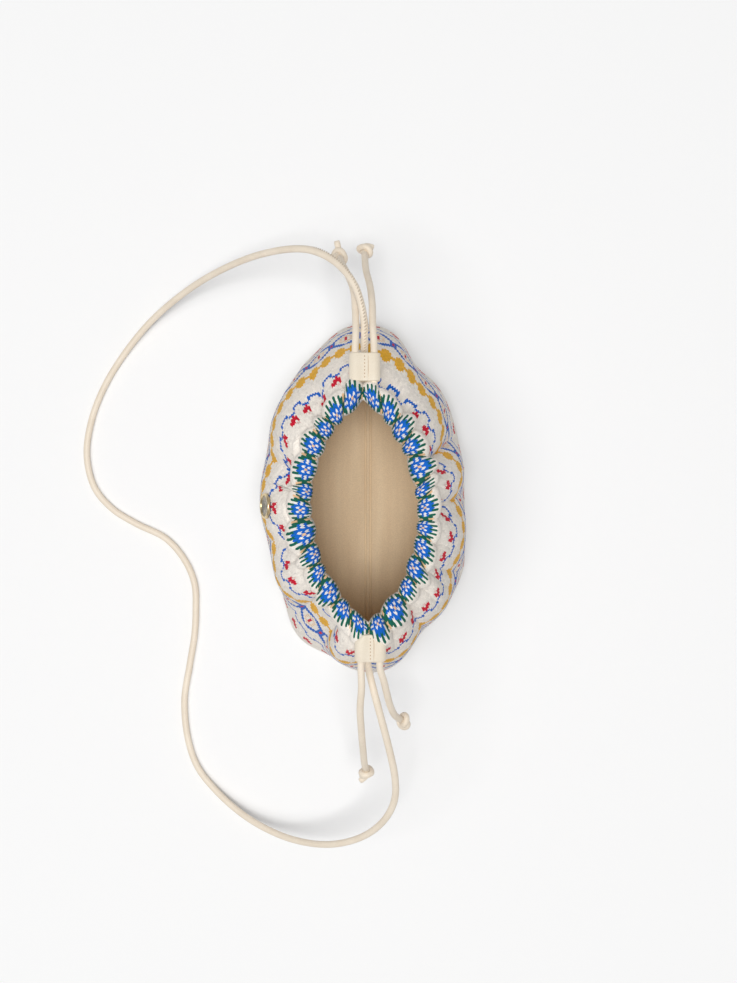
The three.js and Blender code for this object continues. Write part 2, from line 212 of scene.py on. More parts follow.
# Creases of the body: the gather where each lies, its depth, how far the cloth after it puffs out, and
# the share of its depth that is left below the shoulder
CREASES = [
    (0, 0, -1, 1), (2, 8, 6, 0.1), (5, 11, 5, 0.1), (7.667, 11, 3, 0.15), (10, 12, -12, 1.35),
    (11.4, 15, 3, 0.8), (13, 7, 2, 1), (15.333, 4, 4, 1), (17.333, 4, 4, 1), (19.667, 10, 3, 0.6),
    (21.333, 14, -2, 1), (23.9, 13, -14, 0.1), (26, 0, 0, 1),
]
PUFF_ROUNDNESS = 0.75
# Dents and bulges of the lower body: the gather where each lies and how far it stands out
DENTS = [(1.6, -4), (3, -3), (8.8, -3), (10.7, 4), (11.9, -5), (15, -6), (17.4, 5), (23.9, -8)]
DENT_REACH = 0.8
# No two gathers of the hem are alike: how far their creases wander and slant, and their heights differ
CREASE_WANDER = 0.24
CREASE_SLANT = 0.3
GATHER_SPREAD = 0.35
# Rows by which the gathers differ in how far they roll over the mouth, and how far under the neck that
# starts
HEM_ROLL = 1.3
HEM_ROLL_FROM = 6
# The hem climbs to the sliders: the gather of each tip, how far it rises there, and how far the two
# gathers beside it swell out against the slider
TIPS = [(0, 3.5, 2.5), (SIDE_GATHERS, 10, 6), (GATHERS, 3.5, 2.5)]
TIP_LIFT_REACH = 1.3
SWELL_REACH = 0.55
TIP_LIFT_FROM = 150
# Height over which the wall turns up from the base
BASE_TURN = 15

# The knit: stitches round the pouch, rows up the body and over the hem
WALES = 312
HEM_ROWS = 25
BODY_ROWS = 93
ROWS = BODY_ROWS + HEM_ROWS
STITCH_RELIEF = 0.45
STITCH_SLANT = 0.55
COLUMNS_PER_WALE = 4
STEPS_PER_ROW = 2
LEG_RELIEF = (0.0, 1.0, 0.35, 1.0)
ROW_RELIEF = (0.5, 1.0)
BASE_WALES = 56
BASE_ROWS = 110
OVAL_END = 0.998
# Pieces of the wall, and the first row of each
KNIT_BANDS = {"knit_lower": 0, "knit_middle": 32, "knit_shoulder": 62, "knit_hem": BODY_ROWS - HEM_ROLL_FROM}

# Yarns and charts, a letter for each stitch
YARN_SPREAD = 0.05
YARNS = {
    ".": (0.9, 0.845, 0.775),
    "W": (0.84, 0.82, 0.79),
    "B": (0.010, 0.135, 0.58),
    "G": (0.012, 0.13, 0.085),
    "R": (0.64, 0.004, 0.03),
    "M": (0.84, 0.45, 0.03),
    "P": (0.85, 0.55, 0.31),
    "p": (0.78, 0.58, 0.53),
}
FLOWER_HALF = [
    "....G.G.G...",
    "P.G.GWGWG.G.",
    "PGGWGBGBGWGG",
    "PGGWBBBBBWGG",
    "GGBBBWBWBBBG",
]
FLOWER = [*FLOWER_HALF, "GGWWBBPBBWWG", *FLOWER_HALF[::-1]]
TULIP = [
    "...p....",
    "..R.RR..",
    "..RRRR..",
    "..RRR...",
    "...R....",
]
ZIGZAG = [
    "..BBB...",
    ".B...B..",
    "BB...BBB",
]
DIAMOND_HALF = [
    "..MM..",
    ".MMMM.",
    ".MMMM.",
    "MMMMMM",
]
DIAMONDS = [*DIAMOND_HALF, *DIAMOND_HALF[::-1]]
HEXAGON_HALF = [
    "....BBBBB...",
    "...BBB.BBB..",
    "..BBB...BBB.",
    ".BBB..P..BBB",
    "BBB..P.P..BB",
    "BB..P.R.P..B",
    "RB....R....B",
]
HEXAGONS = [*HEXAGON_HALF, "RB..P.R.P..B", *HEXAGON_HALF[::-1]]
# Colour bands: the top row of each, counted up from the neck, and its chart from the rim down
BANDS = [
    (17, FLOWER), (-7, TULIP), (-12, ZIGZAG), (-22, DIAMONDS), (-32, HEXAGONS), (-52, ZIGZAG[::-1]),
    (-58, TULIP[::-1]), (-70, FLOWER),
]

# Lining: how far inside the knit it lies, the points round and up its wall and over its floor, the seam
# of its floor, and how slack it hangs
LINING_INSET = 3.8
LINING_COLUMNS = 312
LINING_RINGS = 64
LINING_FLOOR_GRID = (280, 110)
LINING_SEAM_X = 5.5
LINING_SEAM_WIDTH = 0.55
LINING_SEAM_GAP = 4
LINING_SEAM_DEPTH = 1.2
LINING_SLACK = 0.7
# Waves of the slack cloth: how often each goes round and up, where it starts, and its share
LINING_WAVES = [(5, 7, 0, 1), (11, -9, 1, 0.5)]

# Medallion: a bead of a rim round a dish with turned rings
MEDALLION_RADIUS = 9.2
MEDALLION_RIM = 1.8
MEDALLION_HEIGHT = 2.2
MEDALLION_DISH = 0.8
MEDALLION_RING_PITCH = 1.5
MEDALLION_RING_DEPTH = 0.2
MEDALLION_HUB = 0.5
MEDALLION_SIDES = 72
RIM_STEPS = 13
DISH_STEPS = 60
DISH_EDGE = 0.9
DISH_HUB = 0.2
DISH_LEVEL = 0.8
DISH_CURVE = 0.4
BACK_FACE_DEPTH = 0.1

# Light and floor, in metres and watts
FLOOR_HALF = 4
FLOOR_COLOUR = (0.9, 0.9, 0.9)
SKY = 0.3
LAMPS = {
    "key": {"place": (-2.2, -0.7, 7), "size": 3.2, "power": 134.5},
    "overhead": {"place": (0, -0.25, 5), "size": 1.4, "power": 131.5},
}


# Small tools

def cubic_columns(knots, values, at):
    """Monotone cubic curves through the columns of values, read at some places along the knots."""
    knots, values = np.asarray(knots, float), np.asarray(values, float)
    step = np.diff(knots)
    chord = np.diff(values, axis=0) / step[:, None]
    low, high = chord[:-1], chord[1:]
    total = np.where(low + high == 0, 1, low + high)
    slope = np.concatenate([chord[:1], np.where(low * high > 0, 2 * low * high / total, 0), chord[-1:]])
    left = np.clip(np.searchsorted(knots, at, side="right") - 1, 0, len(step) - 1)
    size = step[left][:, None]
    t = (np.asarray(at)[:, None] - knots[left][:, None]) / size
    start = values[left] * (1 + 2 * t) * (1 - t) ** 2 + slope[left] * size * t * (1 - t) ** 2
    end = values[left + 1] * t**2 * (3 - 2 * t) + slope[left + 1] * size * t**2 * (t - 1)
    return start + end


def unit(vectors):
    """Vectors of the same directions, each of length one."""
    return vectors / np.maximum(np.linalg.norm(vectors, axis=-1, keepdims=True), TINY)


def lengths_along(points):
    """How far along a line each of its points lies."""
    return np.concatenate([[0], np.cumsum(np.linalg.norm(np.diff(points, axis=0), axis=1))])


def evenly(points, step):
    """The same line with its points an even step apart."""
    along = lengths_along(points)
    places = np.linspace(0, along[-1], max(2, round(along[-1] / step) + 1))
    return np.stack([np.interp(places, along, column) for column in points.T], axis=1)


def cord_line(route, step=CORD_STEP):
    """A centripetal Catmull-Rom curve through the points of a route."""
    points = np.array(route, float)
    points = np.vstack([2 * points[0] - points[1], points, 2 * points[-1] - points[-2]])
    gaps = np.sqrt(np.linalg.norm(np.diff(points, axis=0), axis=1))
    t = np.linspace(0, 1, SPAN_STEPS, endpoint=False)[:, None]
    line = []
    for p0, p1, p2, p3, g0, g1, g2 in zip(points, points[1:], points[2:], points[3:],
                                          gaps, gaps[1:], gaps[2:]):
        leave = g1 * ((p1 - p0) / g0 - (p2 - p0) / (g0 + g1) + (p2 - p1) / g1)
        arrive = g1 * ((p2 - p1) / g1 - (p3 - p1) / (g1 + g2) + (p3 - p2) / g2)
        line.append(p1 * (1 + 2 * t) * (1 - t) ** 2 + leave * t * (1 - t) ** 2
                    + p2 * t**2 * (3 - 2 * t) + arrive * t**2 * (t - 1))
    return evenly(np.vstack([*line, points[-2:-1]]), step)


def frames_along(line):
    """Tangent, side and up vectors that turn as little as they can along a line."""
    tangent = unit(np.gradient(line, axis=0))
    side = np.empty_like(tangent)
    first = np.cross(tangent[0], (0, 0, 1))
    upright = np.linalg.norm(first) <= NEARLY_UPRIGHT
    side[0] = unit(np.cross(tangent[0], (1, 0, 0)) if upright else first)
    for i in range(1, len(line)):
        side[i] = unit(side[i - 1] - tangent[i] * np.dot(side[i - 1], tangent[i]))
    return tangent, side, np.cross(side, tangent)


def grid_quads(rows, columns, closed):
    """Faces of a grid of points, row after row. Round a closed one the last column meets the first."""
    row, column = np.meshgrid(np.arange(rows - 1), np.arange(columns if closed else columns - 1),
                              indexing="ij")
    after = (column + 1) % columns
    corners = [row * columns + column, row * columns + after,
               (row + 1) * columns + after, (row + 1) * columns + column]
    return np.stack(corners, axis=-1).reshape(-1, 4)


def merged(shapes):
    """One shape out of several, each given as its points and faces."""
    points, faces, count = [], [], 0
    for own_points, own_faces in shapes:
        points.append(own_points)
        faces.extend([[count + index for index in face] for face in own_faces])
        count += len(own_points)
    return np.vstack(points), faces


def put(piece, slot, *nodes):
    """Places a piece on the body and hides the nodes that it stands for; the slot of its finish is not used.
    """
    if piece.name not in bpy.context.scene.collection.objects:
        bpy.context.scene.collection.objects.link(piece)
    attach(piece, BODY)
    if nodes:
        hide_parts(*nodes)
    return piece


def mesh_piece(name, points, faces, material):
    """A smooth mesh of points in millimetres."""
    mesh = bpy.data.meshes.new(name)
    mesh.from_pydata((np.asarray(points) * MM).tolist(), [], [list(map(int, face)) for face in faces])
    mesh.polygons.foreach_set("use_smooth", [True] * len(mesh.polygons))
    mesh.materials.append(material)
    return bpy.data.objects.new(name, mesh)


def cord_piece(name, line, radius, material):
    """A round cord: a curve of one open spline along a line."""
    curve = bpy.data.curves.new(name, "CURVE")
    curve.dimensions = "3D"
    curve.bevel_depth = radius * MM
    curve.bevel_resolution = CORD_BEVEL
    curve.use_fill_caps = True
    spline = curve.splines.new("POLY")
    spline.points.add(len(line) - 1)
    spline.points.foreach_set("co", np.column_stack([line * MM, np.ones(len(line))]).ravel())
    spline.use_smooth = True
    curve.materials.append(material)
    return bpy.data.objects.new(name, curve)


def tube(line, radii, sides):
    """Points and faces of a tube with closed ends along a line."""
    _, side, up = frames_along(line)
    angle = np.linspace(0, 2 * math.pi, sides, endpoint=False)
    ring = np.cos(angle)[:, None] * side[:, None, :] + np.sin(angle)[:, None] * up[:, None, :]
    points = (line[:, None, :] + np.asarray(radii)[:, None, None] * ring).reshape(-1, 3)
    last = (len(line) - 1) * sides
    caps = range(sides), range(last + sides - 1, last - 1, -1)
    return points, [*grid_quads(len(line), sides, True)[:, ::-1], *caps]


def thread(start, end, up, radius):
    """A stitch of thread: a short tube that bows up between its two holes."""
    part = np.linspace(0, 1, THREAD_STEPS)[:, None]
    bow = np.sin(math.pi * part)
    line = start + (end - start) * part + up * radius * (THREAD_BOW * bow - THREAD_SINK)
    return tube(line, radius * (THREAD_TIP + (1 - THREAD_TIP) * bow[:, 0]), THREAD_SIDES)


def welded(piece):
    """Joins the points of a shape that meet, and turns its faces outwards."""
    made = bmesh.new()
    made.from_mesh(piece.data)
    bmesh.ops.remove_doubles(made, verts=made.verts, dist=WELD)
    bmesh.ops.recalc_face_normals(made, faces=made.faces)
    made.to_mesh(piece.data)
    made.free()
    return piece


def oval_row(half_x, half_y, along, across):
    """Points of one row straight across an oval. Both places go from -1 to 1."""
    along = along * OVAL_END
    width = half_x * math.sqrt(1 - along**2)
    across = np.asarray(across, float)
    return np.stack([width * across, np.full(len(across), half_y * along), np.zeros(len(across))], axis=1)


# Materials

def new_material(name, roughness, specular=0.3, sheen=0.0):
    """A material of one roughness, shine and sheen, with its node tree and its shader."""
    material = bpy.data.materials.new(name)
    material.use_nodes = True
    shader = material.node_tree.nodes["Principled BSDF"]
    shader.inputs["Roughness"].default_value = roughness
    shader.inputs["Specular IOR Level"].default_value = specular
    shader.inputs["Sheen Weight"].default_value = sheen
    return material, material.node_tree, shader


def noise(tree, scale, detail=3, stretch=(1, 1, 1)):
    """Noise over the object's own coordinates. The scale is in features a metre."""
    place = tree.nodes.new("ShaderNodeTexCoord")
    mapping = tree.nodes.new("ShaderNodeMapping")
    mapping.inputs["Scale"].default_value = stretch
    texture = tree.nodes.new("ShaderNodeTexNoise")
    texture.inputs["Scale"].default_value = scale
    texture.inputs["Detail"].default_value = detail
    tree.links.new(place.outputs["Object"], mapping.inputs["Vector"])
    tree.links.new(mapping.outputs["Vector"], texture.inputs["Vector"])
    return texture.outputs["Fac"]


def ramp(tree, value, low, high, start=0.3, end=0.7):
    """Colours from low to high, by a value."""
    made = tree.nodes.new("ShaderNodeValToRGB")
    for element, place, colour in zip(made.color_ramp.elements, (start, end), (low, high)):
        element.position = place
        element.color = (*colour, 1)
    tree.links.new(value, made.inputs["Fac"])
    return made.outputs["Color"]


def multiply(tree, first, second, share=1.0):
    """One colour times another, by a share."""
    mix = tree.nodes.new("ShaderNodeMix")
    mix.data_type = "RGBA"
    mix.blend_type = "MULTIPLY"
    mix.inputs["Factor"].default_value = share
    tree.links.new(first, mix.inputs["A"])
    tree.links.new(second, mix.inputs["B"])
    return mix.outputs["Result"]


def bump(tree, height, shader, strength, distance):
    """Gives a shader a relief, with its distance in millimetres."""
    made = tree.nodes.new("ShaderNodeBump")
    made.inputs["Strength"].default_value = strength
    made.inputs["Distance"].default_value = distance * MM
    tree.links.new(height, made.inputs["Height"])
    tree.links.new(made.outputs["Normal"], shader.inputs["Normal"])


def knit_material():
    material, tree, shader = new_material("knit_wool", roughness=0.9, specular=0.1, sheen=0.1)
    yarn = tree.nodes.new("ShaderNodeAttribute")
    yarn.attribute_name = "yarn"
    flecks = ramp(tree, noise(tree, scale=900, detail=4), low=(0.9, 0.89, 0.88), high=(1.04, 1.04, 1.04))
    colour = multiply(tree, yarn.outputs["Color"], flecks)
    tree.links.new(colour, shader.inputs["Base Color"])
    bump(tree, noise(tree, scale=2600, detail=4), shader, strength=0.5, distance=0.25)
    return material


def lining_material():
    material, tree, shader = new_material("lining_cloth", roughness=0.85, specular=0.2, sheen=0.2)
    weave = noise(tree, scale=120, detail=3, stretch=(1, 0.08, 0.08))
    streaks = ramp(tree, weave, low=(0.81, 0.63, 0.42), high=(0.87, 0.70, 0.48))
    nap = ramp(tree, noise(tree, scale=1400, detail=4), low=(0.9, 0.89, 0.88), high=(1.05, 1.05, 1.05))
    tree.links.new(multiply(tree, streaks, nap), shader.inputs["Base Color"])
    bump(tree, noise(tree, scale=1800, detail=4), shader, strength=0.35, distance=0.2)
    return material


def leather_material(name, light, dark, roughness):
    material, tree, shader = new_material(name, roughness, specular=0.4)
    mottle = ramp(tree, noise(tree, scale=70, detail=3), dark, light)
    grain = ramp(tree, noise(tree, scale=1500, detail=2), low=(0.95, 0.94, 0.93), high=(1.02, 1.02, 1.02))
    tree.links.new(multiply(tree, mottle, grain), shader.inputs["Base Color"])
    pores = tree.nodes.new("ShaderNodeTexVoronoi")
    pores.inputs["Scale"].default_value = 1300
    place = tree.nodes.new("ShaderNodeTexCoord")
    tree.links.new(place.outputs["Object"], pores.inputs["Vector"])
    bump(tree, pores.outputs["Distance"], shader, strength=0.12, distance=0.2)
    return material


def metal_material(name, light, dark, roughness):
    material, tree, shader = new_material(name, roughness)
    shader.inputs["Metallic"].default_value = 1
    mottle = ramp(tree, noise(tree, scale=500, detail=3), dark, light)
    tree.links.new(mottle, shader.inputs["Base Color"])
    bump(tree, noise(tree, scale=1500, detail=3), shader, strength=0.08, distance=0.1)
    return material


KNIT = knit_material()
LINING = lining_material()
CORD_LEATHER = leather_material("leather_cord", (0.86, 0.765, 0.635), (0.80, 0.70, 0.57), roughness=0.5)
SLIDER_LEATHER = leather_material("leather_slider", (0.84, 0.76, 0.63), (0.80, 0.71, 0.57), roughness=0.5)
THREAD = leather_material("thread", (0.66, 0.57, 0.45), (0.52, 0.44, 0.34), roughness=0.7)
# Brown thread of the slider seams, also used for the painted shade along each flap's edge
STITCH_AND_EDGE_SHADE = leather_material("thread_and_painted_edge_shade", (0.58, 0.42, 0.27), (0.50, 0.35, 0.22), roughness=0.6)
GOLD = metal_material("pale_gold", (0.80, 0.66, 0.40), (0.66, 0.53, 0.31), roughness=0.3)
SILVER = metal_material("brushed_grey", (0.55, 0.52, 0.46), (0.36, 0.34, 0.30), roughness=0.4)


# Camera

def make_camera():
    """A camera straight above, which shows the floor at the photo's scale."""
    data = bpy.data.cameras.new("camera")
    data.sensor_fit = "VERTICAL"
    data.sensor_height = SENSOR
    data.lens = SENSOR * EYE[2] / (FRAME_HEIGHT_PX * FLOOR_MM_PER_PX)
    camera = bpy.data.objects.new("camera", data)
    camera.location = [value * MM for value in EYE]
    bpy.context.scene.collection.objects.link(camera)
    bpy.context.scene.camera = camera


# Cords

def slider_axis(end):
    """Which way a slider points, from its inner end to its outer one."""
    tilt = math.radians(SLIDERS[end]["tilt"])
    return np.array([0, SLIDERS[end]["outward"] * math.cos(tilt), -math.sin(tilt)])


def in_bore(end, side, along):
    """The point in a slider's bore that is some way along from its inner end."""
    aside = -CORD_SPACING if side == "left" else CORD_SPACING
    return np.array(SLIDERS[end]["inner"]) + (aside, 0, 0) + along * slider_axis(end)


def tail_line(end, side):
    """The line of a tail, from its slider to its knot."""
    return cord_line([
        in_bore(end, side, SLIDER_LENGTH + CLEARANCE),
        in_bore(end, side, SLIDER_LENGTH + 2 * CORD_RADIUS),
        *TAILS[end, side],
    ])


def tie_overhand():
    """The line of a cord along X that is pulled into an overhand knot until its turns touch."""
    t = np.linspace(-KNOT_REACH, KNOT_REACH, 4 * KNOT_POINTS)
    loose = np.stack([t**3 - 3 * t, t**4 - 4 * t**2, (t**5 - 10 * t) / 5], axis=1)
    line = KNOT_SCALE * KNOT_GAP * loose
    length = lengths_along(line)[-1]
    spacing = length / (KNOT_POINTS - 1)
    line = evenly(line, spacing)
    line[:, 1] -= line[0, 1]
    half_span = (length - KNOT_TAKE_UP * KNOT_GAP) / 2
    ends = np.array([line[0], line[-1]])
    pulled = np.array([[-half_span, 0, 0], [half_span, 0, 0]])
    order = np.arange(KNOT_POINTS)
    strangers = np.abs(order[:, None] - order) > math.pi * KNOT_GAP / 2 / spacing
    middle = slice(KNOT_POINTS // 3, 2 * KNOT_POINTS // 3)
    hold = np.minimum(1, np.minimum(order, order[::-1]) / (KNOT_POINTS / 3))[:, None]
    for turn in range(KNOT_ROUNDS):
        share = min(1, turn / (KNOT_PULL * KNOT_ROUNDS))
        line[1:-1] += KNOT_SMOOTHING * (line[:-2] + line[2:] - 2 * line[1:-1])
        line[:, 1:] -= KNOT_CENTRING * hold * line[middle, 1:].mean(axis=0)
        for first in (0, 1) * KNOT_SWEEPS:
            count = (KNOT_POINTS - first) // 2
            a = line[first:first + 2 * count:2]
            b = line[first + 1:first + 2 * count:2]
            between = b - a
            size = np.linalg.norm(between, axis=1, keepdims=True)
            fix = between * (0.5 * (size - spacing) / np.maximum(size, TINY))
            a += fix
            b -= fix
            line[[0, -1]] = ends + share * (pulled - ends)
        away = line[:, None] - line[None]
        size = np.linalg.norm(away, axis=2)
        close = strangers & (size < KNOT_GAP)
        push = np.where(close, (KNOT_GAP - size) / np.maximum(size, TINY), 0)
        shove = KNOT_PUSH * (away * push[..., None]).sum(axis=1)
        line += shove / np.maximum(1, close.sum(axis=1))[:, None]
    inside = np.flatnonzero((line[:, 0] > -KNOT_LEAD) & (line[:, 0] < KNOT_TAG))
    return evenly(line[inside[0]:inside[-1] + 1], KNOT_STEP)


def make_knot(line, end, side, tie):
    """The knot and its short tag end, tied on the end of a tail."""
    tangent, aside, up = (vectors[-1] for vectors in frames_along(line))
    roll = KNOT_ROLLS[end, side]
    turned = math.cos(roll) * aside + math.sin(roll) * up
    basis = np.array([tangent, turned, np.cross(tangent, turned)])
    placed = line[-1] + (tie - tie[0]) @ basis
    knot_end = np.flatnonzero(tie[:, 0] < TAG_FROM)[-1]
    bend = np.clip((tie[:, 0] - TAG_FROM) / (KNOT_TAG - TAG_FROM), 0, 1) ** TAG_CURVE
    bend[:knot_end] = 0
    placed += bend[:, None] * TAG_LEANS[end, side]
    radii = np.full(len(placed), KNOT_RADIUS)
    radii[-1] = TAG_TAPER * KNOT_RADIUS
    points, faces = tube(placed, radii, CORD_SIDES)
    piece = mesh_piece(f"overhand_{end}_{side}", points, faces, CORD_LEATHER)
    return put(piece, "leather_cord", f"knot_{end}_{side}")


def make_strap_seam(line):
    """Whip stitches along the strap's seam, which turns slowly from the top round to the underside."""
    along = lengths_along(line)
    tangent = unit(np.gradient(line, axis=0))
    right = unit(np.cross(tangent, (0, 0, 1)))
    up = np.cross(right, tangent)
    places = np.arange(SEAM_PITCH, along[-1] - SEAM_PITCH, SEAM_PITCH)
    turns = np.interp(places, *np.array(SEAM_TURNS, float).T)

    def on_strap(place, degrees):
        middle, aside, above = ([np.interp(place, along, column) for column in vectors.T]
                                for vectors in (line, right, up))
        outward = math.sin(math.radians(degrees)) * np.array(aside)
        outward += math.cos(math.radians(degrees)) * np.array(above)
        return np.array(middle) + STRAP_RADIUS * outward, outward

    stitches = []
    for place, turn in zip(places, turns):
        start, _ = on_strap(place, turn - SEAM_SPREAD)
        end, _ = on_strap(place + SEAM_LEAN * SEAM_PITCH, turn + SEAM_SPREAD)
        stitches.append(thread(start, end, on_strap(place, turn)[1], SEAM_THREAD))
    put(mesh_piece("strap_stitches", *merged(stitches), THREAD), "leather_cord", "shoulder_strap")


def make_cords():
    """The strap with its seam, and the tails with their knots."""
    strap_line = cord_line(STRAP_ROUTE, STRAP_STEP)
    strap = put(cord_piece("shoulder_strap_cord", strap_line, STRAP_RADIUS, CORD_LEATHER),
                "leather_cord", "shoulder_strap")
    make_strap_seam(strap_line)
    tie = tie_overhand()
    for end, side in TAILS:
        line = tail_line(end, side)
        tail = put(cord_piece(f"tail_cord_{end}_{side}", line, CORD_RADIUS, CORD_LEATHER),
                   "leather_cord", f"tail_{end}_{side}")
        make_knot(line, end, side, tie)


# Sliders

def slider_outline():
    """Cross-section of a slider: leather round two cords, sunk between them, with an overlapping flap."""
    half = CORD_SPACING + SLIDER_RING
    across = half * np.cos(np.linspace(0, math.pi, SLIDER_STEPS))
    step = np.searchsorted(-across, -FLAP_EDGE)
    across = np.insert(across, [step, step], [FLAP_EDGE + FLAP_STEP, FLAP_EDGE])
    past_cord = np.maximum(np.abs(across) - CORD_SPACING, 0)
    rise = np.sqrt(np.maximum(SLIDER_RING**2 - past_cord**2, 0))
    rise -= SLIDER_DIP * np.cos(math.pi / 2 * np.clip(across / CORD_SPACING, -1, 1)) ** 2
    flap = FLAP_THICKNESS * (across <= FLAP_EDGE) * np.clip(1 + across / half, 0, 1)
    top = np.column_stack([across, rise + flap])
    bottom = np.column_stack([across, -rise])[-2:0:-1]
    return np.vstack([top, bottom])


def slider_up(end):
    """Which way is up out of a slider's top."""
    return -SLIDERS[end]["outward"] * np.cross(slider_axis(end), (1, 0, 0))


def on_slider(end, section, along):
    """Points given across and up, some way along a slider from its inner end."""
    across = section[:, :1] * (1, 0, 0)
    rise = section[:, 1:] * slider_up(end)
    along = np.broadcast_to(along, len(section))[:, None]
    return np.array(SLIDERS[end]["inner"]) + across + rise + along * slider_axis(end)


def make_slider(end):
    """The leather of a slider, drawn in at both ends, with the bores of its cords in the outer one."""
    corner = SLIDERS[end]["corner"]
    outline = slider_outline()
    half = CORD_SPACING + SLIDER_RING
    edge = SLIDER_EDGE * np.array(SLIDER_EDGE_STEPS)
    places = np.concatenate([edge, [corner + SLIDER_EDGE], SLIDER_LENGTH - edge[::-1]])
    near = np.clip(1 - np.minimum(places, SLIDER_LENGTH - places) / SLIDER_EDGE, 0, 1)
    drawn = SLIDER_EDGE * (1 - np.sqrt(1 - near**2))
    cut = np.maximum(corner - places, 0)
    rings = [on_slider(end, outline * (1 - (draw + away) / half, 1 - draw / SLIDER_RING), place)
             for place, draw, away in zip(places, drawn, cut)]
    turn = np.linspace(0, 2 * math.pi, SLIDER_HOLE_SIDES, endpoint=False)
    circle = SLIDER_HOLE * np.column_stack([np.cos(turn), np.sin(turn)])
    holes = [on_slider(end, circle + (middle, 0), SLIDER_LENGTH - depth)
             for middle in (-CORD_SPACING, CORD_SPACING) for depth in (0, SLIDER_HOLE_DEPTH)]
    wall = np.vstack(rings), [*grid_quads(len(rings), len(outline), True), range(len(outline))]
    mouth = [rings[-1], holes[0], holes[2]]
    cap = np.vstack(mouth), tessellate_polygon([[Vector(point) for point in loop] for loop in mouth])
    bores = [(np.vstack(holes[first:first + 2]), grid_quads(2, len(circle), True)) for first in (0, 2)]
    piece = mesh_piece(f"slider_leather_{end}", *merged([wall, cap, *bores]), SLIDER_LEATHER)
    put(welded(piece), "leather_slider", f"slider_{end}")


def make_slider_stitches(end):
    """The seam along a slider's middle, and a line of painted shade along the edge of its flap."""
    up = slider_up(end)
    seam = np.full((2, 2), (0, SLIDER_RING - SLIDER_DIP + SLIDER_STITCH_SEAT * FLAP_THICKNESS))
    first = (SLIDER_LENGTH - (SLIDER_STITCHES - 1) * SLIDER_PITCH) / 2
    stitches = []
    for number in range(SLIDER_STITCHES):
        middle = first + number * SLIDER_PITCH
        ends = on_slider(end, seam, middle + SLIDER_PITCH * np.array(SLIDER_STITCH_ENDS))
        stitches.append(thread(*ends, up, SLIDER_THREAD))
    # A thin dark tube along the flap's edge: painted shade where the flap steps down onto the leather
    flap_rise = SLIDER_RING - SLIDER_DIP * math.cos(math.pi / 2 * FLAP_EDGE / CORD_SPACING) ** 2
    flap = np.full((2, 2), (FLAP_EDGE + FLAP_SHADE_LINE / 2, flap_rise))
    ends = on_slider(end, flap, np.array([SLIDER_EDGE, SLIDER_LENGTH - SLIDER_EDGE]))
    stitches.append(thread(*ends, up, FLAP_SHADE_LINE))
    stitches_and_shade_line = mesh_piece(f"slider_stitches_{end}", *merged(stitches), STITCH_AND_EDGE_SHADE)
    put(stitches_and_shade_line, "leather_slider", f"slider_{end}")


# The pouch's surface

def fold_depth(gather, tuck):
    """How far the body's cloth stands out between its creases, and how far it sinks at them."""
    at, depth, puff, low = np.array(CREASES).T
    reach = low + (1 - low) * tuck
    depth = depth * reach
    puff = np.where(puff > 0, puff, puff * reach)
    left = np.clip(np.searchsorted(at, gather, side="right") - 1, 0, len(at) - 2)
    part = (gather - at[left]) / (at[left + 1] - at[left])
    arch = np.clip(np.sin(math.pi * part), 0, 1) ** PUFF_ROUNDNESS
    valley = depth[left] * (1 - part) + depth[left + 1] * part
    return puff[left] * arch - valley * (1 - arch)


def gather_wave(gather, rise):
    """Where points lie among the creases, which slant as the hem rolls over, and how far they stand out."""
    random = np.random.default_rng(SEED)
    wander, slant = random.uniform(-1, 1, (2, GATHERS + 1))
    over = math.sin(rise - math.pi / 2) if rise < math.pi else 1
    shift = CREASE_WANDER * wander + CREASE_SLANT * slant * over
    shift[[0, GATHERS // 2, GATHERS]] = 0
    heights = 1 + GATHER_SPREAD * random.uniform(-1, 1, GATHERS)
    place = np.interp(gather, np.arange(GATHERS + 1) + shift, np.arange(GATHERS + 1))
    crest = np.abs(np.sin(math.pi * place)) ** GATHER_ROUNDNESS
    crest *= heights[np.minimum(place.astype(int), GATHERS - 1)]
    along = gather % SIDE_GATHERS
    to_tip = np.minimum(along, SIDE_GATHERS - along)
    return place, 2 * crest - 1 - TIP_PINCH * np.exp(-((to_tip / TIP_REACH) ** 2))


def dent_depth(gather):
    """How far the lower body bulges."""
    return sum(out * np.exp(-(((gather - at) / DENT_REACH) ** 2)) for at, out in DENTS)


def tip_lift(gather):
    """How far the hem climbs to the sliders."""
    return sum(lift * np.exp(-(((gather - tip) / TIP_LIFT_REACH) ** 2)) for tip, lift, _ in TIPS)


def tip_swell(gather):
    """How far the gathers beside a slider swell out."""
    beside = ((np.abs(gather - tip) - SWELL_REACH) / SWELL_REACH for tip, _, _ in TIPS)
    return sum(swell * np.exp(-(off**2)) for off, (_, _, swell) in zip(beside, TIPS))


def oval(section, turn):
    """Points of a section's smooth outline, with a tip at the back and one at the front."""
    across, along = np.sin(turn), np.cos(turn)
    x = section["lean"] * ((1 - along) / 2) ** 2
    x = x - section["half_x"] * np.sign(across) * np.abs(across) ** section["lens"]
    return np.stack([x, section["mid_y"] + section["half_y"] * along], axis=-1)


